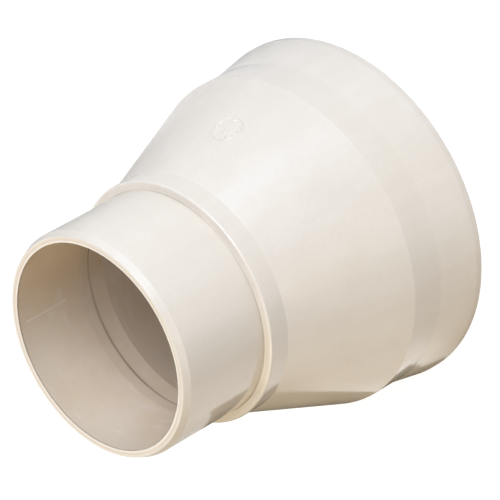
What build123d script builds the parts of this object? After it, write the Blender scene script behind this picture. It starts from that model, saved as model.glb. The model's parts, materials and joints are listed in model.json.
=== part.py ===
# Duct reducer, moulded in one piece of rigid PVC. The wide mouth is a socket that takes the
# end of a nominal 150 pipe. A cone brings the duct down to a narrow spigot, which goes into
# a nominal 100 fitting as far as the shoulder at its root.
# Millimetres. +Z runs up the duct's axis, from the wide mouth that the piece stands on to
# the narrow tip, and the origin is the centre of the wide mouth.
import math
import os

from build123d import *

# Wide end, sized from the pipe that goes into it
pipe_od = 165.0             # outside of a nominal 150 pipe
pipe_clearance = 0.3        # gap all round between that pipe and the socket
socket_depth = 20.0         # mouth to the ledge that stops the pipe
stop_ledge = 2.5            # how far the ledge stands in from the socket wall
mouth_wall = 5.8            # wall of the straight rim at the mouth
rim_land = 3.8              # height of that straight rim
flare_length = 21.5         # height of the outside taper above the rim
throat_length = 18.2        # height of the straight outside above the taper
lead_in_depth = 3.0         # lead-in inside the mouth, along the axis
lead_in_width = 1.4         # lead-in inside the mouth, across the wall

# Cone
wall = 4.4                  # wall of the throat and of the cone
cone_length = 62.7          # height of the cone's outside
inner_foot_shift = 3.5      # the cone's inside reaches this far past its outside, to the tip

# Shoulder that the mating fitting stops against
shoulder_rise = 4.6         # step out from the spigot
shoulder_length = 11.2      # straight outside between the cone and the step

# Narrow end, sized from the fitting that it goes into
spigot_od = 114.0           # outside of a nominal 100 pipe
spigot_length = 52.0        # shoulder to tip
spigot_wall = 4.9           # wall at the tip
tip_land = 3.3              # flat left on the end face beside the tip's lead-in
tip_lead_in = 3.7           # length of that lead-in along the axis

# Inside of the spigot, which widens a little towards the cone so that the core comes out
bore_draft = 0.9            # degrees of taper on the long bore
relief_length = 6.8         # short relief behind the bore
relief_rise = 0.9           # how much wider the relief ends than it starts
step_length = 1.9           # small step from the relief into the cone
step_rise = 1.3             # how much wider the step ends than it starts
step_setback = 1.8          # the step ends this far towards the tip from the shoulder

# Small roundings and bevels
shoulder_round = 1.1        # outer edge of the shoulder
root_fill = 0.7             # bevel in the corner where the spigot meets the shoulder
foot_round = 3.0            # hollow line where the cone leaves the shoulder
crown_round = 2.0           # edge where the cone meets the throat
flare_round = 8.0           # hollow line where the flare starts
rim_break = 0.6             # bevel on the outer edge of the mouth

# Radii
socket_r = pipe_od / 2 + pipe_clearance
throat_r = socket_r - stop_ledge
throat_outer_r = throat_r + wall
mouth_r = socket_r + mouth_wall
spigot_r = spigot_od / 2
shoulder_r = spigot_r + shoulder_rise
bore_r = spigot_r - spigot_wall

# Heights of the outside, from the mouth up
flare_z = rim_land + flare_length
crown_z = flare_z + throat_length
foot_z = crown_z + cone_length
shoulder_z = foot_z + shoulder_length
tip_z = shoulder_z + spigot_length

# Inside of the cone: the outside line moved in by the wall
cone_slope = (throat_outer_r - shoulder_r) / cone_length
cone_angle = math.atan(cone_slope)
inner_crown_z = crown_z - wall * math.tan(cone_angle / 2)
inner_foot_z = foot_z + inner_foot_shift
inner_foot_r = shoulder_r - wall / math.cos(cone_angle) - inner_foot_shift * cone_slope

# Inside of the spigot: heights from the shoulder up, radii from the tip down
step_z = shoulder_z + step_setback
relief_z = step_z + step_length
bore_z = relief_z + relief_length
bore_end_r = bore_r + (tip_z - bore_z) * math.tan(math.radians(bore_draft))
relief_r = bore_end_r + relief_rise
step_r = relief_r + step_rise


def ring(builder, radius, height):
    """The circular edge of one radius at one height."""
    circles = builder.edges().filter_by(GeomType.CIRCLE)
    level = circles.filter_by_position(Axis.Z, height - 0.01, height + 0.01)
    return level.filter_by(lambda edge: abs(edge.radius - radius) < 0.01)


with BuildPart() as reducer:
    # The outside, turned as one solid
    with BuildSketch(Plane.XZ):
        with BuildLine():
            Polyline(
                (0, 0),
                (mouth_r, 0),
                (mouth_r, rim_land),
                (throat_outer_r, flare_z),
                (throat_outer_r, crown_z),
                (shoulder_r, foot_z),
                (shoulder_r, shoulder_z),
                (spigot_r, shoulder_z),
                (spigot_r, tip_z),
                (0, tip_z),
                close=True,
            )
        make_face()
    revolve(axis=Axis.Z)

    # The duct through it: socket, ledge, throat, cone, small step, relief and bore
    with BuildSketch(Plane.XZ):
        with BuildLine():
            Polyline(
                (0, 0),
                (socket_r, 0),
                (socket_r, socket_depth),
                (throat_r, socket_depth),
                (throat_r, inner_crown_z),
                (inner_foot_r, inner_foot_z),
                (step_r, step_z),
                (relief_r, relief_z),
                (bore_end_r, bore_z),
                (bore_r, tip_z),
                (0, tip_z),
                close=True,
            )
        make_face()
    revolve(axis=Axis.Z, mode=Mode.SUBTRACT)

    # Lead-ins: outside the tip, and inside the mouth
    tip_face = reducer.faces().sort_by(Axis.Z).last
    chamfer(
        ring(reducer, spigot_r, tip_z),
        length=spigot_wall - tip_land,
        length2=tip_lead_in,
        reference=tip_face,
    )
    mouth_face = reducer.faces().sort_by(Axis.Z).first
    chamfer(
        ring(reducer, socket_r, 0),
        length=lead_in_width,
        length2=lead_in_depth,
        reference=mouth_face,
    )

    # Roundings and bevels left by the mould
    fillet(ring(reducer, shoulder_r, shoulder_z), radius=shoulder_round)
    fillet(ring(reducer, shoulder_r, foot_z), radius=foot_round)
    fillet(ring(reducer, throat_outer_r, crown_z), radius=crown_round)
    fillet(ring(reducer, throat_outer_r, flare_z), radius=flare_round)
    chamfer(ring(reducer, spigot_r, shoulder_z), length=root_fill)
    chamfer(ring(reducer, mouth_r, 0), length=rim_break)

reducer.part.label = "reducer"

os.makedirs("parts", exist_ok=True)
export_step(reducer.part, "parts/reducer.step")
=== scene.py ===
# %% [markdown]
# # Duct reducer
# This lesson dresses one moulded fitting: a wide socket, a cone and a narrow spigot, all round one axis.
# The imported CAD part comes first. It is the fixed frame, and everything made here is in the same metres.

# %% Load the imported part
import json
import math

import bmesh
import bpy
from mathutils import Matrix, Vector


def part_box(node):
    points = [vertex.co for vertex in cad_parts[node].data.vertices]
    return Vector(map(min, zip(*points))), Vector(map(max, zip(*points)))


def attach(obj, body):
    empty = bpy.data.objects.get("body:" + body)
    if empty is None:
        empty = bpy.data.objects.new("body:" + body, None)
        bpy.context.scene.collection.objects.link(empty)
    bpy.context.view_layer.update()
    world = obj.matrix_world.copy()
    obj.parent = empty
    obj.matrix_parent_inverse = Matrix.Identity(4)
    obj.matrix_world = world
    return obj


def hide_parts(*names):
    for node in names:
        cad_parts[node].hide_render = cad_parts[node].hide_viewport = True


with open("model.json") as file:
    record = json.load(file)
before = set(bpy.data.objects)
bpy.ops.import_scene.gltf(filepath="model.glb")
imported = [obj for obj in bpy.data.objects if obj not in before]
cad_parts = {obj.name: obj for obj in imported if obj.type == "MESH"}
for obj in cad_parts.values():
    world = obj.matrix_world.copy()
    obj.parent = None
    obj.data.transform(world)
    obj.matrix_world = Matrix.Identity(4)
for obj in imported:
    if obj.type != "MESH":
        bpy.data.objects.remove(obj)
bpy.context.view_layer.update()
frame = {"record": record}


# %% [markdown]
# ## The sizes
# A turned piece is described by its section: radii and heights. The ones that other parts depend on are
# read from the frame, so the looks can't drift away from the CAD. The rest are written in millimetres.

# %% Outside radii and heights
mm = 0.001
mounts = {mount["name"]: mount for mount in frame["record"]["mounts"]}

lowest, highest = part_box("reducer")
mouth_r = min(highest.x, -lowest.x)
tip_z = highest.z
socket_r = mounts["pipe_socket"]["dims"]["r_mm"] * mm
spigot_r = mounts["spigot"]["dims"]["r_mm"] * mm
shoulder_z = mounts["shoulder_face"]["pos_m"][2]

wall = 4.4 * mm
stop_ledge = 2.5 * mm
shoulder_rise = 4.6 * mm
throat_r = socket_r - stop_ledge
throat_outer_r = throat_r + wall
shoulder_r = spigot_r + shoulder_rise

rim_land = 3.8 * mm
flare_length = 21.5 * mm
throat_length = 18.2 * mm
shoulder_length = 11.2 * mm
flare_z = rim_land + flare_length
crown_z = flare_z + throat_length
foot_z = shoulder_z - shoulder_length

cone_slope = (throat_outer_r - shoulder_r) / (foot_z - crown_z)
cone_lean = math.atan(cone_slope)
print(f"outside: mouth {mouth_r:.4f}, throat {throat_outer_r:.4f}, spigot {spigot_r:.4f}")
print(f"the cone leans in by {math.degrees(cone_lean):.1f} degrees")

# %% [markdown]
# The inside follows the outside at its own wall thickness. From the tip down it is a long bore that opens
# by less than a degree, a short relief, a small step and then the cone, so the mould's core can be drawn out.

# %% Inside radii and heights
spigot_wall = 4.9 * mm
tip_land = 3.3 * mm
tip_lead_in = 3.7 * mm
bore_r = spigot_r - spigot_wall
bore_lean = math.radians(0.9)

step_setback = 1.8 * mm
step_length = 1.9 * mm
step_rise = 1.3 * mm
relief_length = 6.8 * mm
relief_rise = 0.9 * mm
step_z = shoulder_z + step_setback
relief_z = step_z + step_length
bore_z = relief_z + relief_length
bore_end_r = bore_r + (tip_z - bore_z) * math.tan(bore_lean)
relief_r = bore_end_r + relief_rise
step_r = relief_r + step_rise

inner_foot_shift = 3.5 * mm
inner_foot_z = foot_z + inner_foot_shift
inner_foot_r = shoulder_r - wall / math.cos(cone_lean) - inner_foot_shift * cone_slope
inner_crown_z = crown_z - wall * math.tan(cone_lean / 2)

socket_depth = 20.0 * mm
lead_in_depth = 3.0 * mm
lead_in_width = 1.4 * mm
print(f"inside: socket {socket_r:.4f}, throat {throat_r:.4f}, bore {bore_r:.4f} to {bore_end_r:.4f}")

# %% [markdown]
# ## The section, drawn once
# A mould leaves no edge perfectly sharp, and a rounded edge is what catches the light. So each corner of the
# section is a radius, a height and the rounding it gets. Only the corners are drawn: the arcs are made later.
# The loop starts at the mouth's inner edge, goes up the inside, over the tip and down the outside.

# %% Corners of the section
crisp = 0.35 * mm
soft = 0.8 * mm
inner_crown_round = 3.0 * mm
inner_foot_round = 2.0 * mm
bore_end_round = 2.0 * mm
root_round = 0.7 * mm
shoulder_round = 1.1 * mm
foot_round = 3.0 * mm
crown_round = 2.0 * mm
flare_round = 8.0 * mm
rim_round = 2.0 * mm
section_corners = [
    (socket_r + lead_in_width, 0, crisp),
    (socket_r, lead_in_depth, crisp),
    (socket_r, socket_depth, soft),
    (throat_r, socket_depth, crisp),
    (throat_r, inner_crown_z, inner_crown_round),
    (inner_foot_r, inner_foot_z, inner_foot_round),
    (step_r, step_z, crisp),
    (relief_r, relief_z, crisp),
    (bore_end_r, bore_z, bore_end_round),
    (bore_r, tip_z, crisp),
    (bore_r + tip_land, tip_z, crisp),
    (spigot_r, tip_z - tip_lead_in, soft),
    (spigot_r, shoulder_z, root_round),
    (shoulder_r, shoulder_z, shoulder_round),
    (shoulder_r, foot_z, foot_round),
    (throat_outer_r, crown_z, crown_round),
    (throat_outer_r, flare_z, flare_round),
    (mouth_r, rim_land, rim_round),
    (mouth_r, 0, soft),
]
print("section corners:", len(section_corners))

# %% [markdown]
# The drawing is a mesh of bare edges. A curve object could hold it too, but a mesh takes a named attribute
# in one line, and the rounding of each corner travels in that attribute.

# %% Draw the section


def draw_section(corners):
    """The corners as a closed line in the XY plane: X is the radius, Y the height."""
    count = len(corners)
    drawing = bpy.data.meshes.new("reducer_section")
    points = [(radius, height, 0) for radius, height, rounding in corners]
    lines = [(place, (place + 1) % count) for place in range(count)]
    drawing.from_pydata(points, lines, [])
    roundings = drawing.attributes.new("rounding", "FLOAT", "POINT")
    roundings.data.foreach_set("value", [rounding for radius, height, rounding in corners])
    return drawing


section = draw_section(section_corners)
print("section lines:", len(section.edges))

# %% [markdown]
# ## A lathe made of nodes
# The whole piece follows one rule, a section carried round an axis, so a node tree makes it, like a lathe.
# Each tree that makes a piece has named inputs and ends in the same three nodes, so helpers come first.

# %% Helpers for node trees


def add_node(tree, kind, **settings):
    """One node in a tree, with its own settings."""
    node = tree.nodes.new(kind)
    for name, value in settings.items():
        setattr(node, name, value)
    return node


def maths(tree, operation, *values):
    """One Math node. Each value is a number or another node's output."""
    node = add_node(tree, "ShaderNodeMath", operation=operation)
    for socket, value in zip(node.inputs, values):
        if isinstance(value, (int, float)):
            socket.default_value = value
        else:
            tree.links.new(value, socket)
    return node.outputs["Value"]


def new_geometry_tree(name, inputs):
    """A geometry tree with named inputs, and its input and output sockets."""
    tree = bpy.data.node_groups.new(name, "GeometryNodeTree")
    for label, kind in inputs.items():
        tree.interface.new_socket(label, in_out="INPUT", socket_type="NodeSocket" + kind)
    tree.interface.new_socket("Piece", in_out="OUTPUT", socket_type="NodeSocketGeometry")
    return tree, add_node(tree, "NodeGroupInput").outputs, add_node(tree, "NodeGroupOutput").inputs


def finish_piece(tree, geometry, material):
    """The end of a tree that makes a piece: smooth shading, real geometry and a material."""
    smooth = add_node(tree, "GeometryNodeSetShadeSmooth")
    real = add_node(tree, "GeometryNodeRealizeInstances")
    finish = add_node(tree, "GeometryNodeSetMaterial")
    tree.links.new(geometry, smooth.inputs["Geometry"])
    tree.links.new(smooth.outputs["Geometry"], real.inputs["Geometry"])
    tree.links.new(real.outputs["Geometry"], finish.inputs["Geometry"])
    tree.links.new(material, finish.inputs["Material"])
    return finish.outputs["Geometry"]


print("made helpers for nodes, sums, trees and the end of a tree")

# %% [markdown]
# Fillet Curve rounds each corner by its own attribute, and Curve to Mesh carries the section round a circle.
# A Screw modifier could turn it too, but it would not round the corners, and a Bevel would guess at them.

# %% The lathe


def lathe_tree():
    """Turns a section, drawn in the XY plane, about the Z axis."""
    tree, given, made = new_geometry_tree("lathe", {
        "Section": "Geometry",
        "Segments": "Int",
        "Arc Points": "Int",
        "Path Radius": "Float",
        "Finish": "Material",
    })
    link = tree.links.new

    outline = add_node(tree, "GeometryNodeMeshToCurve")
    rounding = add_node(tree, "GeometryNodeInputNamedAttribute", data_type="FLOAT")
    rounding.inputs["Name"].default_value = "rounding"
    fillet = add_node(tree, "GeometryNodeFilletCurve", mode="POLY")
    link(given["Section"], outline.inputs["Mesh"])
    link(outline.outputs["Curve"], fillet.inputs["Curve"])
    link(rounding.outputs["Attribute"], fillet.inputs["Radius"])
    link(given["Arc Points"], fillet.inputs["Count"])

    # Curve to Mesh hangs a section upside down, so it is turned over, and moved in by the path's radius
    offset = add_node(tree, "ShaderNodeCombineXYZ")
    hung = add_node(tree, "GeometryNodeTransform")
    hung.inputs["Rotation"].default_value = (math.pi, 0, 0)
    link(maths(tree, "MULTIPLY", given["Path Radius"], -1), offset.inputs["X"])
    link(fillet.outputs["Curve"], hung.inputs["Geometry"])
    link(offset.outputs["Vector"], hung.inputs["Translation"])

    path = add_node(tree, "GeometryNodeCurvePrimitiveCircle")
    upright = add_node(tree, "GeometryNodeSetCurveNormal", mode="Z_UP")
    turned = add_node(tree, "GeometryNodeCurveToMesh")
    link(given["Segments"], path.inputs["Resolution"])
    link(given["Path Radius"], path.inputs["Radius"])
    link(path.outputs["Curve"], upright.inputs["Curve"])
    link(upright.outputs["Curve"], turned.inputs["Curve"])
    link(hung.outputs["Geometry"], turned.inputs["Profile Curve"])
    link(finish_piece(tree, turned.outputs["Mesh"], given["Finish"]), made["Piece"])
    return tree


lathe = lathe_tree()
print("lathe nodes:", len(lathe.nodes))

# %% [markdown]
# ## The plastic
# The real piece is rigid PVC, moulded in one shot: warm ivory and smooth, with a clear gloss.
# One flat colour would look like paint. A moulding has faint clouds and streaks where the melt flowed, a fine
# grain and a skin that ripples by about a hundredth of a millimetre. Use leaves rubbed places inside. Over
# these lie painted shade, a warm brown on the inside walls and dark rings in the corners, and painted
# highlights, pale rings on two edges.
# An image could hold all this, but noise has no seam and no size limit. It reads Object coordinates, which
# are metres on the piece, so a noise scale of 45 means about 45 clouds to the metre.

# %% Helpers for finishes


def new_material(name):
    """A material and its node tree, which starts with one shader and its output."""
    material = bpy.data.materials.new(name)
    material.use_nodes = True
    return material, material.node_tree


def object_place(tree):
    """Where a point lies on the piece, in metres."""
    return add_node(tree, "ShaderNodeTexCoord").outputs["Object"]


def noise(tree, scale, detail, stretch=(1, 1, 1)):
    """Noise with so many clouds to the metre, stretched along the piece's axes."""
    spread = add_node(tree, "ShaderNodeMapping")
    spread.inputs["Scale"].default_value = stretch
    cloud = add_node(tree, "ShaderNodeTexNoise")
    cloud.inputs["Scale"].default_value = scale
    cloud.inputs["Detail"].default_value = detail
    tree.links.new(object_place(tree), spread.inputs["Vector"])
    tree.links.new(spread.outputs["Vector"], cloud.inputs["Vector"])
    return cloud.outputs["Fac"]


def ramp(tree, value, start, end, low=0.0, high=1.0):
    """A soft ramp: low where the value is at start, and high where it is at end."""
    span = add_node(tree, "ShaderNodeMapRange", interpolation_type="SMOOTHSTEP")
    span.inputs["From Min"].default_value = start
    span.inputs["From Max"].default_value = end
    span.inputs["To Min"].default_value = low
    span.inputs["To Max"].default_value = high
    tree.links.new(value, span.inputs["Value"])
    return span.outputs["Result"]


def mix_colour(tree, factor, first, second):
    """Mixes two colours. The first may be another node's output."""
    mix = add_node(tree, "ShaderNodeMix", data_type="RGBA")
    sockets = {socket.identifier: socket for socket in mix.inputs}
    tree.links.new(factor, sockets["Factor_Float"])
    if isinstance(first, tuple):
        sockets["A_Color"].default_value = first
    else:
        tree.links.new(first, sockets["A_Color"])
    sockets["B_Color"].default_value = second
    return next(socket for socket in mix.outputs if socket.identifier == "Result_Color")


print("made helpers for materials, places, noise, ramps and mixed colours")

# %% [markdown]
# Painted shade darkens the places where two faces meet, and a painted highlight makes an edge that stands out
# pale. They could be painted by hand, but on a turned piece each is a ring, so nodes can find it: they
# measure in the section how far a point is from one radius and one height.

# %% Rings on a turned piece


def flattened(tree, place):
    """A place with its height taken out of it."""
    flat = add_node(tree, "ShaderNodeVectorMath", operation="MULTIPLY")
    flat.inputs[1].default_value = (1, 1, 0)
    tree.links.new(place, flat.inputs[0])
    return flat.outputs["Vector"]


def from_axis(tree, place):
    """How far a point lies from the piece's axis."""
    length = add_node(tree, "ShaderNodeVectorMath", operation="LENGTH")
    tree.links.new(flattened(tree, place), length.inputs[0])
    return length.outputs["Value"]


def near_ring(tree, radius, height, reach):
    """1 on the ring of one radius at one height, fading to 0 at some reach from it."""
    place = object_place(tree)
    split = add_node(tree, "ShaderNodeSeparateXYZ")
    in_section = add_node(tree, "ShaderNodeCombineXYZ")
    gap = add_node(tree, "ShaderNodeVectorMath", operation="DISTANCE")
    gap.inputs[1].default_value = (radius, 0, height)
    tree.links.new(place, split.inputs["Vector"])
    tree.links.new(from_axis(tree, place), in_section.inputs["X"])
    tree.links.new(split.outputs["Z"], in_section.inputs["Z"])
    tree.links.new(in_section.outputs["Vector"], gap.inputs[0])
    return ramp(tree, gap.outputs["Value"], 0.0, reach, 1.0, 0.0)


def deepest_ring(tree, rings):
    """The strongest of several rings at each point."""
    strongest = 0.0
    for radius, height, reach, depth in rings:
        mark = maths(tree, "MULTIPLY", near_ring(tree, radius, height, reach), depth)
        strongest = maths(tree, "MAXIMUM", strongest, mark)
    return strongest


print("made helpers for rings")

# %% [markdown]
# Painted shade lies at the spigot's root and thinly on the shoulder's face, at the small step in the bore,
# just inside the tip and in the corner of the socket's ledge. Painted highlights lie on the tip's inner edge
# and the shoulder's edge.

# %% Painted shade in corners and painted highlights on edges
# Each ring is a radius, a height, a reach and a depth
# Painted shade: dark rings at the spigot's root, on the shoulder's face, at the bore's step, inside the tip
# and in the socket's corner
painted_shade_rings = [
    (spigot_r, shoulder_z, 0.9 * mm, 0.9),
    (spigot_r + 2.0 * mm, shoulder_z, 3.5 * mm, 0.2),
    (relief_r, relief_z, 1.0 * mm, 0.8),
    (bore_r, tip_z - 0.5 * mm, 0.6 * mm, 1.0),
    (socket_r, socket_depth, 2.0 * mm, 0.8),
]
# Painted highlights: pale rings on the tip's inner edge and the shoulder's edge
highlight_rings = [
    (bore_r + 0.6 * mm, tip_z, 0.7 * mm, 0.9),
    (shoulder_r - 0.3 * mm, shoulder_z - 0.3 * mm, 0.7 * mm, 0.3),
]
print("rings of painted shade:", len(painted_shade_rings), "and painted highlight rings:", len(highlight_rings))

# %% [markdown]
# The two ivories are close together, because the clouds in a moulding are faint. The scales count clouds to
# the metre, from broad flow marks down to the grain, and the shares say how much each one counts.

# %% Colours and scales of the plastic
pale_ivory = (0.88, 0.80, 0.68, 1)
deep_ivory = (0.85, 0.765, 0.64, 1)
# Painted shade: the warm brown that darkens the inside walls
inside_shade_brown = (0.78, 0.61, 0.42, 1)
# Partly wear, partly painted highlight: the pale colour of the inside rubs and of the highlight rings
rub_and_highlight_ivory = (0.94, 0.89, 0.80, 1)
# Painted shade: the colour that darkens the corner rings
shade_brown = (0.30, 0.23, 0.15, 1)

pvc_ior = 1.53
cloud_scale = 45
streak_scale = 130
streak_stretch = (1, 1, 0.07)
grain_scale = 1300
rub_scale = 60
rub_stretch = (1, 1, 3)
ripple_scale = 330
ripple_depth = 0.012 * mm

cloud_share = 0.3
streak_share = 0.3
grain_share = 0.4
# Painted shade: how strongly the inside walls are darkened to brown
inside_wall_shade = 0.6
thin_inside_shade_share = 0.6
rub_depth = 0.28
# Painted shade: how strongly the corner rings darken, in thin and thick patches
thin_shade = 0.5
thick_shade = 0.8
least_roughness = 0.10
most_roughness = 0.15
rubbed_roughness = 0.2
print(f"clouds {1 / cloud_scale / mm:.0f} mm, streaks {1 / streak_scale / mm:.1f} mm, "
      f"grain {1 / grain_scale / mm:.1f} mm across")

# %% [markdown]
# Inside and outside are told apart by the normal: on an inside wall it points at the axis, against the place.
# The painted brown shade and the cloudy rubs are on the inside walls only. The painted highlights on the
# edges join the rubs, and the painted shade in the corners comes last, over everything.

# %% Moulded ivory PVC


def inside_walls(tree):
    """1 on the walls that face the axis, 0 elsewhere."""
    coordinates = add_node(tree, "ShaderNodeTexCoord")
    facing_out = add_node(tree, "ShaderNodeVectorMath", operation="DOT_PRODUCT")
    tree.links.new(flattened(tree, coordinates.outputs["Object"]), facing_out.inputs[0])
    tree.links.new(coordinates.outputs["Normal"], facing_out.inputs[1])
    return maths(tree, "LESS_THAN", facing_out.outputs["Value"], 0.0)


def ivory_pvc(name, pale, deep, inside_shade_depth):
    """Moulded PVC: flow clouds, fine grain, a rippled skin and rubbed places, with painted shade inside and
    in the corners and painted highlights on edges.
    """
    material, tree = new_material(name)
    shader = tree.nodes["Principled BSDF"]
    shader.inputs["IOR"].default_value = pvc_ior

    # Noise stays mostly between 0.3 and 0.7, so each ramp below spans a part of that
    clouds = noise(tree, cloud_scale, detail=3)
    streaks = noise(tree, streak_scale, detail=2, stretch=streak_stretch)
    grain = noise(tree, grain_scale, detail=2)
    flow = maths(tree, "MULTIPLY_ADD", streaks, streak_share, maths(tree, "MULTIPLY", clouds, cloud_share))
    drift = maths(tree, "MULTIPLY_ADD", grain, grain_share, flow)
    ivory = mix_colour(tree, ramp(tree, drift, 0.4, 0.6), pale, deep)

    # Painted shade: the inside walls are darkened to a warm brown in clouds
    inside = inside_walls(tree)
    inside_shade_clouds = ramp(tree, clouds, 0.3, 0.7, thin_inside_shade_share * inside_shade_depth, inside_shade_depth)
    inside_shaded = mix_colour(tree, maths(tree, "MULTIPLY", inside, inside_shade_clouds), ivory, inside_shade_brown)
    rub_clouds = noise(tree, rub_scale, detail=6, stretch=rub_stretch)
    rubs_inside = maths(tree, "MULTIPLY", ramp(tree, rub_clouds, 0.57, 0.72, 0.0, rub_depth), inside)
    # The painted highlight rings join the inside rubs
    rubs_and_highlights = maths(tree, "MAXIMUM", rubs_inside, deepest_ring(tree, highlight_rings))
    worn_and_highlit = mix_colour(tree, rubs_and_highlights, inside_shaded, rub_and_highlight_ivory)

    # Painted shade: the corner rings darken the colour in patches
    patches = ramp(tree, clouds, 0.3, 0.6, thin_shade, thick_shade)
    corner_shade = maths(tree, "MULTIPLY", deepest_ring(tree, painted_shade_rings), patches)
    tree.links.new(mix_colour(tree, corner_shade, worn_and_highlit, shade_brown), shader.inputs["Base Color"])

    polish = ramp(tree, streaks, 0.35, 0.65, least_roughness, most_roughness)
    roughness = maths(tree, "MULTIPLY_ADD", rubs_and_highlights, rubbed_roughness, polish)
    tree.links.new(roughness, shader.inputs["Roughness"])

    ripple = add_node(tree, "ShaderNodeBump")
    ripple.inputs["Strength"].default_value = 1.0
    ripple.inputs["Distance"].default_value = ripple_depth
    tree.links.new(noise(tree, ripple_scale, detail=2), ripple.inputs["Height"])
    tree.links.new(ripple.outputs["Normal"], shader.inputs["Normal"])
    return material


pvc = ivory_pvc("ivory_pvc", pale_ivory, deep_ivory, inside_wall_shade)
print("plastic nodes:", len(pvc.node_tree.nodes))

# %% [markdown]
# ## The shell
# This is the moulding itself, and it takes the place of the plain CAD solid, with the same section.
# Each piece is a drawing with a node tree on it. The tree's result is turned into a plain mesh, so that the
# export needs no modifier, and then it is measured: a sound moulding has no open edge.

# %% Helpers for pieces


def new_piece(name, drawing):
    """An object in the scene, at the origin."""
    piece = bpy.data.objects.new(name, drawing)
    bpy.context.scene.collection.objects.link(piece)
    return piece


def set_input(modifier, name, value):
    """Sets a node modifier's input by its socket's identifier."""
    for socket in modifier.node_group.interface.items_tree:
        if socket.name == name and socket.in_out == "INPUT":
            modifier[socket.identifier] = value


def add_nodes_modifier(piece, tree, inputs):
    """Puts a node tree on a piece and sets its inputs."""
    modifier = piece.modifiers.new(tree.name, "NODES")
    modifier.node_group = tree
    for name, value in inputs.items():
        set_input(modifier, name, value)


def plain_mesh(piece):
    """Turns the result of a piece's modifiers into a plain mesh."""
    bpy.context.view_layer.update()
    evaluated = piece.evaluated_get(bpy.context.evaluated_depsgraph_get())
    mesh = bpy.data.meshes.new_from_object(evaluated)
    piece.modifiers.clear()
    piece.data = mesh
    mesh.name = piece.name


def measure(piece):
    """Prints a piece's volume, faces and open edges."""
    solid = bmesh.new()
    solid.from_mesh(piece.data)
    volume = solid.calc_volume(signed=True) / mm**3
    open_edges = sum(not edge.is_manifold for edge in solid.edges)
    print(f"{piece.name}: {volume:.1f} cubic mm, {len(solid.faces)} faces, {open_edges} open edges")
    solid.free()


print("made helpers for pieces")

# %% [markdown]
# 256 segments keep the outline round at any zoom. Smooth shading alone would bend the light on the flat faces
# beside the small roundings, so weighted normals keep those faces flat.

# %% Turn the shell
shell = new_piece("moulded_reducer", section)
add_nodes_modifier(shell, lathe, {
    "Segments": 256,
    "Arc Points": 6,
    "Path Radius": spigot_r,
    "Finish": pvc,
})
flats = shell.modifiers.new("flat faces stay flat", "WEIGHTED_NORMAL")
flats.weight = 100
plain_mesh(shell)

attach(shell, "root")
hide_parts("reducer")
measure(shell)

# %% [markdown]
# ## Beads that follow a wall
# A mould leaves small raised lines. Each one is a thin round bead, most of it sunk in the wall.
# The lines are drawn flat, with X across the wall and Y along it, and the tree wraps the drawing round the
# axis: X becomes an angle, and Y a height and a change of radius. So one tree serves a cone and a bore.

# %% The bead tree
bead_sides = 10


def bead_tree():
    """Wraps a flat drawing round a wall and makes each of its lines a thin round bead."""
    tree, given, made = new_geometry_tree("wall_beads", {
        "Drawing": "Geometry",
        "Wall Radius": "Float",
        "Wall Lean": "Float",
        "Middle Height": "Float",
        "Side": "Float",
        "Bead Radius": "Float",
        "Sunk": "Float",
        "Spacing": "Float",
        "Finish": "Material",
    })
    link = tree.links.new

    lines = add_node(tree, "GeometryNodeMeshToCurve")
    even = add_node(tree, "GeometryNodeResampleCurve", mode="LENGTH")
    link(given["Drawing"], lines.inputs["Mesh"])
    link(lines.outputs["Curve"], even.inputs["Curve"])
    link(given["Spacing"], even.inputs["Length"])

    drawn = add_node(tree, "ShaderNodeSeparateXYZ")
    link(add_node(tree, "GeometryNodeInputPosition").outputs["Position"], drawn.inputs["Vector"])
    across = drawn.outputs["X"]
    along = drawn.outputs["Y"]
    sine = maths(tree, "SINE", given["Wall Lean"])
    cosine = maths(tree, "COSINE", given["Wall Lean"])
    inwards = maths(tree, "MULTIPLY_ADD", given["Sunk"], cosine, maths(tree, "MULTIPLY", along, sine))
    radius = maths(tree, "SUBTRACT", given["Wall Radius"], inwards)
    upwards = maths(tree, "MULTIPLY_ADD", along, cosine, given["Middle Height"])
    height = maths(tree, "SUBTRACT", upwards, maths(tree, "MULTIPLY", given["Sunk"], sine))
    angle = maths(tree, "ADD", given["Side"], maths(tree, "DIVIDE", across, given["Wall Radius"]))

    on_wall = add_node(tree, "ShaderNodeCombineXYZ")
    link(maths(tree, "MULTIPLY", radius, maths(tree, "COSINE", angle)), on_wall.inputs["X"])
    link(maths(tree, "MULTIPLY", radius, maths(tree, "SINE", angle)), on_wall.inputs["Y"])
    link(height, on_wall.inputs["Z"])
    wrapped = add_node(tree, "GeometryNodeSetPosition")
    link(even.outputs["Curve"], wrapped.inputs["Geometry"])
    link(on_wall.outputs["Vector"], wrapped.inputs["Position"])

    round_section = add_node(tree, "GeometryNodeCurvePrimitiveCircle")
    round_section.inputs["Resolution"].default_value = bead_sides
    bead = add_node(tree, "GeometryNodeCurveToMesh")
    bead.inputs["Fill Caps"].default_value = True
    link(given["Bead Radius"], round_section.inputs["Radius"])
    link(wrapped.outputs["Geometry"], bead.inputs["Curve"])
    link(round_section.outputs["Curve"], bead.inputs["Profile Curve"])
    link(finish_piece(tree, bead.outputs["Mesh"], given["Finish"]), made["Piece"])
    return tree


wall_beads = bead_tree()
print("bead nodes:", len(wall_beads.nodes))

# %% [markdown]
# ## The core line
# Down the bore runs one thin light line, where two halves of the mould's core met. It could be painted, but
# it is a real ridge, so it is a bead, a tenth of a millimetre proud of the wall. The tree sinks a bead
# towards the axis, and a bore's wall lies the other way, so the depth is negative here. The crest carries a
# painted highlight: the same plastic is used again with paler colours and hardly any painted shade inside.

# %% Core line
core_line_side = math.radians(59.7)
core_line_top = tip_z - 4.5 * mm
core_line_end = tip_z - 31.0 * mm
core_line_length = core_line_top - core_line_end
core_line_middle = core_line_end + core_line_length / 2
core_line_radius = 0.4 * mm
core_line_proud = 0.1 * mm
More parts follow.
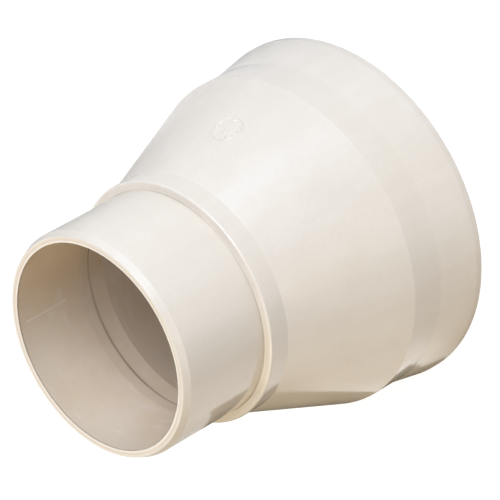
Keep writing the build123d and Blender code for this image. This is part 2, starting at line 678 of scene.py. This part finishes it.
# Painted highlight: the paler colours of the crest
crest_pale = (1.0, 0.95, 0.87, 1)
crest_deep = (0.95, 0.89, 0.80, 1)
crest_inside_shade = 0.1
highlit_crest_pvc = ivory_pvc("highlit_crest_pvc", crest_pale, crest_deep, crest_inside_shade)

core_drawing = bpy.data.meshes.new("core_line_drawing")
core_drawing.from_pydata([(0, -core_line_length / 2, 0), (0, core_line_length / 2, 0)], [(0, 1)], [])
core_line = new_piece("core_line", core_drawing)
add_nodes_modifier(core_line, wall_beads, {
    "Wall Radius": bore_r + (tip_z - core_line_middle) * math.tan(bore_lean),
    "Wall Lean": bore_lean,
    "Middle Height": core_line_middle,
    "Side": core_line_side,
    "Bead Radius": core_line_radius,
    "Sunk": core_line_proud - core_line_radius,
    "Spacing": 2.0 * mm,
    "Finish": highlit_crest_pvc,
})
plain_mesh(core_line)
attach(core_line, "root")
measure(core_line)

# %% [markdown]
# ## The mould dial
# Toolmakers set a small plain dial in a mould, and the piece carries its print: a ring, twelve ticks and a
# short pointer. The ticks repeat, so nodes place them: one line, instanced on the points of a circle and
# turned to face away from its middle. The result is only lines, for the bead tree to wrap.

# %% The dial drawing


def dial_tree():
    """Draws a flat dial as bare lines: a ring, its ticks and a pointer."""
    tree, given, made = new_geometry_tree("dial_drawing", {
        "Dial Radius": "Float",
        "Ring Points": "Int",
        "Ticks": "Int",
        "Tick Radius": "Float",
        "Tick Length": "Float",
        "Pointer Length": "Float",
    })
    link = tree.links.new

    ring = add_node(tree, "GeometryNodeCurvePrimitiveCircle")
    link(given["Ring Points"], ring.inputs["Resolution"])
    link(given["Dial Radius"], ring.inputs["Radius"])

    tick = add_node(tree, "GeometryNodeCurvePrimitiveLine")
    tick_end = add_node(tree, "ShaderNodeCombineXYZ")
    link(given["Tick Length"], tick_end.inputs["X"])
    link(tick_end.outputs["Vector"], tick.inputs["End"])
    places = add_node(tree, "GeometryNodeMeshCircle")
    link(given["Ticks"], places.inputs["Vertices"])
    link(given["Tick Radius"], places.inputs["Radius"])
    outwards = add_node(tree, "FunctionNodeAlignRotationToVector", axis="X")
    link(add_node(tree, "GeometryNodeInputPosition").outputs["Position"], outwards.inputs["Vector"])
    ticks = add_node(tree, "GeometryNodeInstanceOnPoints")
    link(places.outputs["Mesh"], ticks.inputs["Points"])
    link(tick.outputs["Curve"], ticks.inputs["Instance"])
    link(outwards.outputs["Rotation"], ticks.inputs["Rotation"])

    pointer = add_node(tree, "GeometryNodeCurvePrimitiveLine")
    pointer_end = add_node(tree, "ShaderNodeCombineXYZ")
    link(given["Pointer Length"], pointer_end.inputs["Y"])
    link(pointer_end.outputs["Vector"], pointer.inputs["End"])

    together = add_node(tree, "GeometryNodeJoinGeometry")
    for drawn in (ring.outputs["Curve"], ticks.outputs["Instances"], pointer.outputs["Curve"]):
        link(drawn, together.inputs["Geometry"])
    real = add_node(tree, "GeometryNodeRealizeInstances")
    bare_lines = add_node(tree, "GeometryNodeCurveToMesh")
    link(together.outputs["Geometry"], real.inputs["Geometry"])
    link(real.outputs["Geometry"], bare_lines.inputs["Curve"])
    link(bare_lines.outputs["Mesh"], made["Piece"])
    return tree


dial_lines = dial_tree()
print("dial nodes:", len(dial_lines.nodes))

# %% [markdown]
# The dial sits on the cone, so the bead tree gets the cone's lean and its radius at the dial's height. The
# two trees stand one after the other on the same object, the drawing first.

# %% Mould dial
dial_radius = 7.5 * mm
dial_side = math.radians(-37)
dial_z = 74.0 * mm
tick_radius = 0.66 * dial_radius
pointer_length = 0.5 * dial_radius
dial_bead_radius = 0.5 * mm
dial_proud = 0.4 * mm

dial = new_piece("mould_dial", bpy.data.meshes.new("mould_dial_drawing"))
add_nodes_modifier(dial, dial_lines, {
    "Dial Radius": dial_radius,
    "Ring Points": 72,
    "Ticks": 12,
    "Tick Radius": tick_radius,
    "Tick Length": 1.4 * mm,
    "Pointer Length": pointer_length,
})
add_nodes_modifier(dial, wall_beads, {
    "Wall Radius": throat_outer_r - (dial_z - crown_z) * cone_slope,
    "Wall Lean": cone_lean,
    "Middle Height": dial_z,
    "Side": dial_side,
    "Bead Radius": dial_bead_radius,
    "Sunk": dial_bead_radius - dial_proud,
    "Spacing": 0.4 * mm,
    "Finish": pvc,
})
plain_mesh(dial)
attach(dial, "root")
measure(dial)

# %% [markdown]
# ## The floor
# The piece stands on a white sweep, a flat sheet a hair below the mouth, so that the two faces never fight
# over the same place. A disc is enough, because the room past it is white too.

# %% Floor sheet
floor_radius = 3.0
floor_gap = 0.05 * mm
floor_mesh = bpy.data.meshes.new("floor")
floor_sheet = bmesh.new()
bmesh.ops.create_circle(floor_sheet, cap_ends=True, segments=96, radius=floor_radius)
floor_sheet.to_mesh(floor_mesh)
floor_sheet.free()
floor = new_piece("floor", floor_mesh)
floor.location.z = -floor_gap
print("floor radius:", floor_radius)

# %% [markdown]
# Reflections see the floor as a white table with painted shade on it, dimmer at the right, behind, under the
# piece and towards one corner, because the gloss on the piece is so. Lamps could light the floor unevenly,
# but they would change the light on the piece too, so the levels are written down.

# %% The floor in reflections
# Painted shade: the floor's levels as reflections see it
right_level = 0.55
behind_level = 0.45
under_level = 0.4
corner_level = 0.35
corner_side = math.radians(-144)
corner_reach = math.radians(31)


def mirrored_floor(tree):
    """How bright reflections see the floor at each place."""
    place = object_place(tree)
    split = add_node(tree, "ShaderNodeSeparateXYZ")
    direction = add_node(tree, "ShaderNodeVectorMath", operation="NORMALIZE")
    towards_corner = add_node(tree, "ShaderNodeVectorMath", operation="DOT_PRODUCT")
    towards_corner.inputs[1].default_value = (math.cos(corner_side), math.sin(corner_side), 0)
    tree.links.new(place, split.inputs["Vector"])
    tree.links.new(place, direction.inputs[0])
    tree.links.new(direction.outputs["Vector"], towards_corner.inputs[0])

    # Painted shade: a contact shadow under the piece, and darker at the right, towards one corner and behind
    right = ramp(tree, split.outputs["X"], -50 * mm, 120 * mm, 1.0, right_level)
    under = ramp(tree, from_axis(tree, place), mouth_r, mouth_r + 20 * mm, under_level, 1.0)
    corner = ramp(tree, towards_corner.outputs["Value"], math.cos(corner_reach), 1.0, 1.0, corner_level)
    behind = ramp(tree, split.outputs["Y"], 90 * mm, 160 * mm, 1.0, behind_level)
    level = right
    for dimmer in (under, corner, behind):
        level = maths(tree, "MULTIPLY", level, dimmer)
    return level


print(f"mirrored floor: right {right_level}, behind {behind_level}, "
      f"under the piece {under_level}, corner {corner_level}")

# %% [markdown]
# To the light the floor is plain pale paint. To the camera it glows at nearly white, with enough paint left
# in it to keep the shadow. Light Path tells the rays apart.

# %% White floor
floor_paint = (0.8, 0.8, 0.8, 1)
shadow_paint = (0.3, 0.3, 0.3, 1)
camera_level = 0.85


def seen_directly(tree):
    """1 for rays from the camera, from a reflection or through glass, 0 for the light's own rays."""
    ray = add_node(tree, "ShaderNodeLightPath").outputs
    camera_or_gloss = maths(tree, "MAXIMUM", ray["Is Camera Ray"], ray["Is Glossy Ray"])
    return maths(tree, "MAXIMUM", camera_or_gloss, ray["Is Transmission Ray"])


def white_floor():
    """White to the camera and in reflections, with a soft shadow, and plain pale paint to the light."""
    material, tree = new_material("white_floor")
    tree.nodes.clear()
    link = tree.links.new
    paint = add_node(tree, "ShaderNodeBsdfDiffuse")
    paint.inputs["Color"].default_value = floor_paint
    seen_paint = add_node(tree, "ShaderNodeBsdfDiffuse")
    seen_paint.inputs["Color"].default_value = shadow_paint

    level = add_node(tree, "ShaderNodeMix", data_type="FLOAT")
    level.inputs["B"].default_value = camera_level
    glow = add_node(tree, "ShaderNodeEmission")
    link(add_node(tree, "ShaderNodeLightPath").outputs["Is Camera Ray"], level.inputs["Factor"])
    link(mirrored_floor(tree), level.inputs["A"])
    link(level.outputs["Result"], glow.inputs["Strength"])

    seen = add_node(tree, "ShaderNodeAddShader")
    choice = add_node(tree, "ShaderNodeMixShader")
    result = add_node(tree, "ShaderNodeOutputMaterial")
    link(seen_paint.outputs["BSDF"], seen.inputs[0])
    link(glow.outputs["Emission"], seen.inputs[1])
    link(seen_directly(tree), choice.inputs["Fac"])
    link(paint.outputs["BSDF"], choice.inputs[1])
    link(seen.outputs["Shader"], choice.inputs[2])
    link(choice.outputs["Shader"], result.inputs["Surface"])
    return material


floor_mesh.materials.append(white_floor())
print("floor nodes:", len(floor_mesh.materials[0].node_tree.nodes))

# %% [markdown]
# ## The dark card
# Gloss only shows when there is something to mirror. A dark card stands beside the pale piece, where a table
# would lie in the piece's shadow, and its reflection paints that shadow as the crisp dark wedges along the
# underside. A plain rectangle would draw them with the wrong ends, so the card has a folded foot on the floor
# and a small skirt at one edge.

# %% Shape of the dark card
card_side = math.radians(148.2)
card_lean = math.radians(11.0)
card_gap = 87.2 * mm
card_length = 125 * mm
card_width = 44 * mm
card_foot = 26 * mm
card_skirt = 6 * mm
card_skirt_height = 30 * mm
card_lift = 0.4 * mm

facing = Vector((math.cos(card_lean) * math.cos(card_side),
                 math.cos(card_lean) * math.sin(card_side),
                 math.sin(card_lean)))
up_card = (Vector((0, 0, 1)) - facing.z * facing).normalized()
across_card = up_card.cross(facing)
along_foot = Vector((0.35, -0.94, 0))
fold = card_gap * facing - (card_gap * facing.z / up_card.z) * up_card
foot_step = along_foot * card_foot
card_edge = fold + card_width * across_card
card_points = [
    fold,
    card_edge,
    card_edge + card_skirt * across_card,
    card_edge + card_skirt_height * up_card,
    card_edge + card_length * up_card,
    fold + card_length * up_card,
    fold + foot_step,
    card_edge + foot_step,
]
upright_face = (0, 1, 2, 3, 4, 5)
foot_face = (1, 0, 6, 7)
print(f"dark card: {card_width / mm:.0f} by {card_length / mm:.0f} mm")

# %% [markdown]
# The card must not darken the picture or shade the piece, so it is seen by glossy rays alone. Its paint is a
# matt black.

# %% Dark card
# Painted shadow: the black that the gloss mirrors as the shadow's dark wedges
shadow_card_black = (0.02, 0.02, 0.02, 1)
card_roughness = 0.9


def only_in_gloss(sheet):
    """Hides a sheet from every ray but the glossy ones."""
    sheet.visible_camera = False
    sheet.visible_diffuse = False
    sheet.visible_shadow = False
    sheet.visible_transmission = False


card_mesh = bpy.data.meshes.new("painted_shadow_card")
card_mesh.from_pydata(card_points, [], [upright_face, foot_face])
card = new_piece("painted_shadow_card", card_mesh)
card.location.z = card_lift
only_in_gloss(card)

card_paint, card_tree = new_material("shadow_card_black")
card_shader = card_tree.nodes["Principled BSDF"]
card_shader.inputs["Base Color"].default_value = shadow_card_black
card_shader.inputs["Roughness"].default_value = card_roughness
card_mesh.materials.append(card_paint)
print("dark card faces:", len(card_mesh.polygons))

# %% [markdown]
# ## The white card
# The cone is tilted so that it mirrors the horizon. A white card stands there, low and to the right, and its
# faded edges give the cone one soft pale streak. The card glows, though it is no lamp, so the streak is a
# painted highlight. Like the dark card, it is seen by the gloss alone.

# %% White card
white_card_side = math.radians(-42)
white_card_distance = 1.2
white_card_width = 1.1
white_card_height = 0.45

white_card_mesh = bpy.data.meshes.new("white_card")
half = white_card_width / 2
white_card_points = [(-half, 0, 0), (half, 0, 0), (half, white_card_height, 0), (-half, white_card_height, 0)]
white_card_mesh.from_pydata(white_card_points, [], [(0, 1, 2, 3)])
white_card = new_piece("white_card", white_card_mesh)
standing = Matrix.Rotation(math.pi / 2, 4, "X")
turned_in = Matrix.Rotation(white_card_side - math.pi / 2, 4, "Z")
pushed_out = Matrix.Translation((0, white_card_distance, 0))
white_card.matrix_world = turned_in @ pushed_out @ standing
only_in_gloss(white_card)
print(f"white card: {white_card_width} by {white_card_height} m")

# %% [markdown]
# The card's glow is added to clear, so it only brightens what is behind it. A plain white sheet would show
# its edges as lines on the cone, so the glow fades out towards the sides and the top.

# %% The white card's glow
# Painted highlight: the colour and strength of the card's glow
highlight_card_glow = (0.4, 0.65, 1.0, 1)
highlight_card_strength = 1.7


def painted_highlight_glow():
    """A glow that fades to nothing at the card's sides and top."""
    material, tree = new_material("painted_highlight_glow")
    tree.nodes.clear()
    link = tree.links.new
    glow = add_node(tree, "ShaderNodeEmission")
    glow.inputs["Color"].default_value = highlight_card_glow
    split = add_node(tree, "ShaderNodeSeparateXYZ")
    link(object_place(tree), split.inputs["Vector"])
    from_middle = maths(tree, "ABSOLUTE", split.outputs["X"])
    sides = ramp(tree, from_middle, 0.0, half, highlight_card_strength, 0.0)
    top = ramp(tree, split.outputs["Y"], white_card_height / 2, white_card_height, 1.0, 0.0)
    link(maths(tree, "MULTIPLY", sides, top), glow.inputs["Strength"])

    clear = add_node(tree, "ShaderNodeBsdfTransparent")
    both = add_node(tree, "ShaderNodeAddShader")
    result = add_node(tree, "ShaderNodeOutputMaterial")
    link(glow.outputs["Emission"], both.inputs[0])
    link(clear.outputs["BSDF"], both.inputs[1])
    link(both.outputs["Shader"], result.inputs["Surface"])
    return material


white_card_mesh.materials.append(painted_highlight_glow())
print("white card nodes:", len(white_card_mesh.materials[0].node_tree.nodes))

# %% [markdown]
# ## The room
# Past the floor there is only white. The camera and the gloss see it at full white, so the piece mirrors the
# background that it stands against. The light that it gives is a faint warm glow, and the lamps do the rest.

# %% White room
room_glow = (1.0, 0.85, 0.7, 1)
room_strength = 0.02


def white_room():
    """A world that looks white and gives little light."""
    world = bpy.data.worlds.new("white_room")
    world.use_nodes = True
    tree = world.node_tree
    ambient = tree.nodes["Background"]
    ambient.inputs["Color"].default_value = room_glow
    ambient.inputs["Strength"].default_value = room_strength
    white = add_node(tree, "ShaderNodeBackground")
    white.inputs["Color"].default_value = (1, 1, 1, 1)
    choice = add_node(tree, "ShaderNodeMixShader")
    tree.links.new(seen_directly(tree), choice.inputs["Fac"])
    tree.links.new(ambient.outputs["Background"], choice.inputs[1])
    tree.links.new(white.outputs["Background"], choice.inputs[2])
    tree.links.new(choice.outputs["Shader"], tree.nodes["World Output"].inputs["Surface"])
    return world


bpy.context.scene.world = white_room()
print("room light:", room_strength)

# %% [markdown]
# ## The lamps
# Big soft discs stand round the piece. The key is high at the right, cool and broad, with a smaller one below
# it. Warm fills lift the shaded front and the inside. A plain lamp behind lights the back, so that the piece
# can be looked at from every side.

# %% Soft lamps
aim = Vector((4.4 * mm, 0, 62.7 * mm))
lamp_distance = 2.4


def soft_lamp(name, azimuth, height, size, watts, colour):
    """A disc lamp that faces the piece, from a direction in degrees round it and above the floor."""
    lamp = bpy.data.lights.new(name, "AREA")
    lamp.shape = "DISK"
    lamp.size = size
    lamp.energy = watts
    lamp.color = colour
    side = math.radians(azimuth)
    rise = math.radians(height)
    towards = Vector((math.cos(rise) * math.cos(side), math.cos(rise) * math.sin(side), math.sin(rise)))
    stand = bpy.data.objects.new(name, lamp)
    stand.rotation_euler = towards.to_track_quat("Z", "Y").to_euler()
    stand.location = aim + lamp_distance * towards
    bpy.context.scene.collection.objects.link(stand)


soft_lamp("key", -48, 45, 2.8, 54.0, (0.84, 0.85, 1.0))
soft_lamp("key_low", -62, 30, 2.0, 20.0, (0.66, 0.88, 1.0))
soft_lamp("fill_front", -122, 12, 1.6, 4.0, (1.0, 0.55, 0.2))
soft_lamp("fill_inside", 150, 50, 1.6, 25.0, (1.0, 0.85, 0.57))
soft_lamp("fill_back", 88, 10, 1.6, 36.0, (1.0, 1.0, 1.0))
lamp_watts = sum(light.energy for light in bpy.data.lights)
print(f"lamps: {len(bpy.data.lights)}, {lamp_watts:.1f} W in all")

# %% [markdown]
# ## The camera
# The picture was taken with a long lens, looking down on the tip, and the camera was turned on its side, so
# the piece seems to lie down. The camera is placed by a distance and a height, and then rolled.

# %% Camera
camera_distance = 1.903
camera_height = math.radians(38.457)
camera_roll = math.radians(-119.393)
lens = bpy.data.cameras.new("camera")
lens.sensor_width = 36
lens.lens = 288
camera = bpy.data.objects.new("camera", lens)
towards_camera = Vector((0, -math.cos(camera_height), math.sin(camera_height)))
stand_off = Matrix.Translation(aim + camera_distance * towards_camera)
tilt = Matrix.Rotation(math.pi / 2 - camera_height, 4, "X")
roll = Matrix.Rotation(camera_roll, 4, "Z")
camera.matrix_world = stand_off @ tilt @ roll
bpy.context.scene.collection.objects.link(camera)
bpy.context.scene.camera = camera
bpy.context.scene.view_settings.view_transform = "Standard"
print("camera at:", [round(number, 3) for number in camera.matrix_world.translation])
